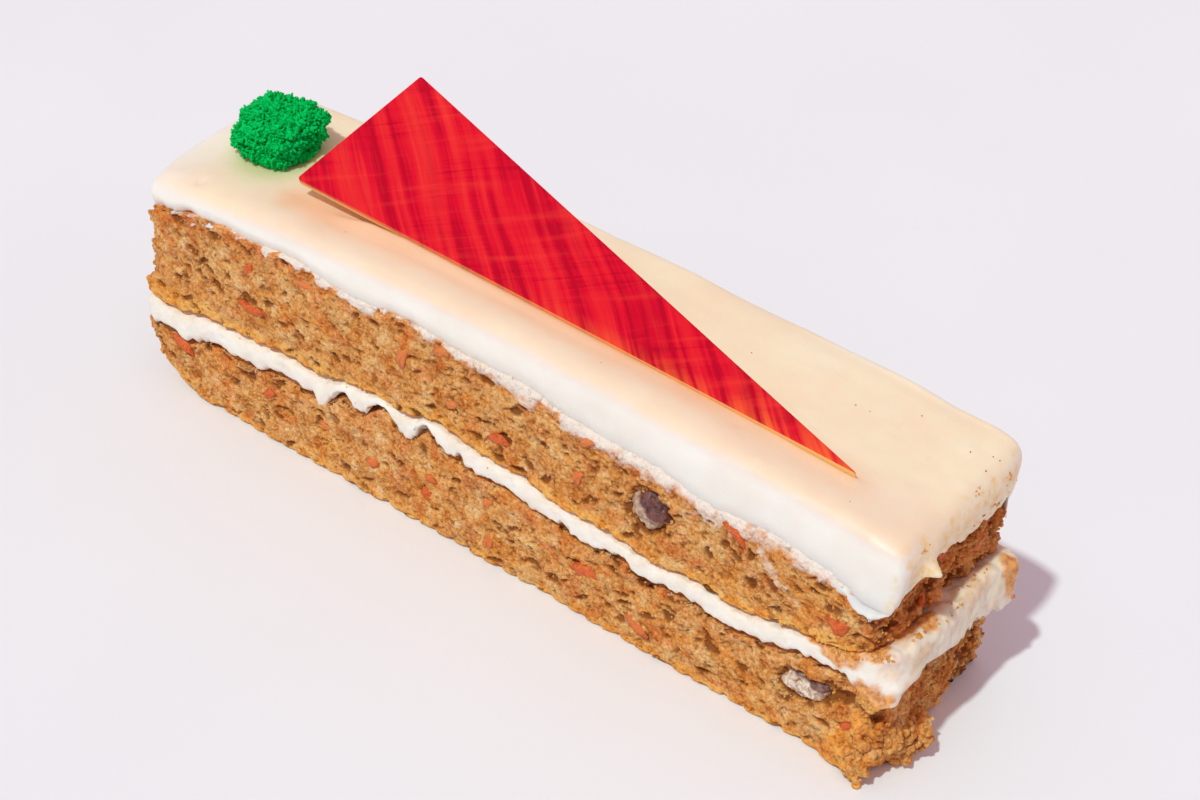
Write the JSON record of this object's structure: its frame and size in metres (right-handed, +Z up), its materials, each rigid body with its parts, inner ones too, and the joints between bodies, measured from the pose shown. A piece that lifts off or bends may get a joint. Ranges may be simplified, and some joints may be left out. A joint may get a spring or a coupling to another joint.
{
  "type": "carrot cake",
  "caption": "Bar-shaped slice of layered nut and carrot sponge with a cream filling, soft frosting, a leaning carrot-shaped plaque and a green sugar tuft for its leaves.",
  "frame": {"origin": "middle of the slice's footprint, at the height of the table it stands on", "axes": "+X along the slice towards its torn end, +Y across it away from the finished front cut, +Z up"},
  "size_m": [0.1328, 0.0336, 0.047],
  "materials": {
    "sponge": "open matte crumb with shreds and holes",
    "cream": "soft satin cream",
    "frosting": "glossy soft frosting, whiter at its cut edge",
    "plaque": "satin, brushed in two directions",
    "tuft": "matte, spiky and granular",
    "walnut": "dull nut flesh with dark skin"
  },
  "bodies": {
    "root": {"lower_sponge": "sponge", "cream_filling": "cream", "upper_sponge": "sponge", "frosting": "frosting", "carrot_plaque": "plaque", "green_tuft": "tuft", "walnut_upper": "walnut", "walnut_lower": "walnut"}
  },
  "joints": []
}
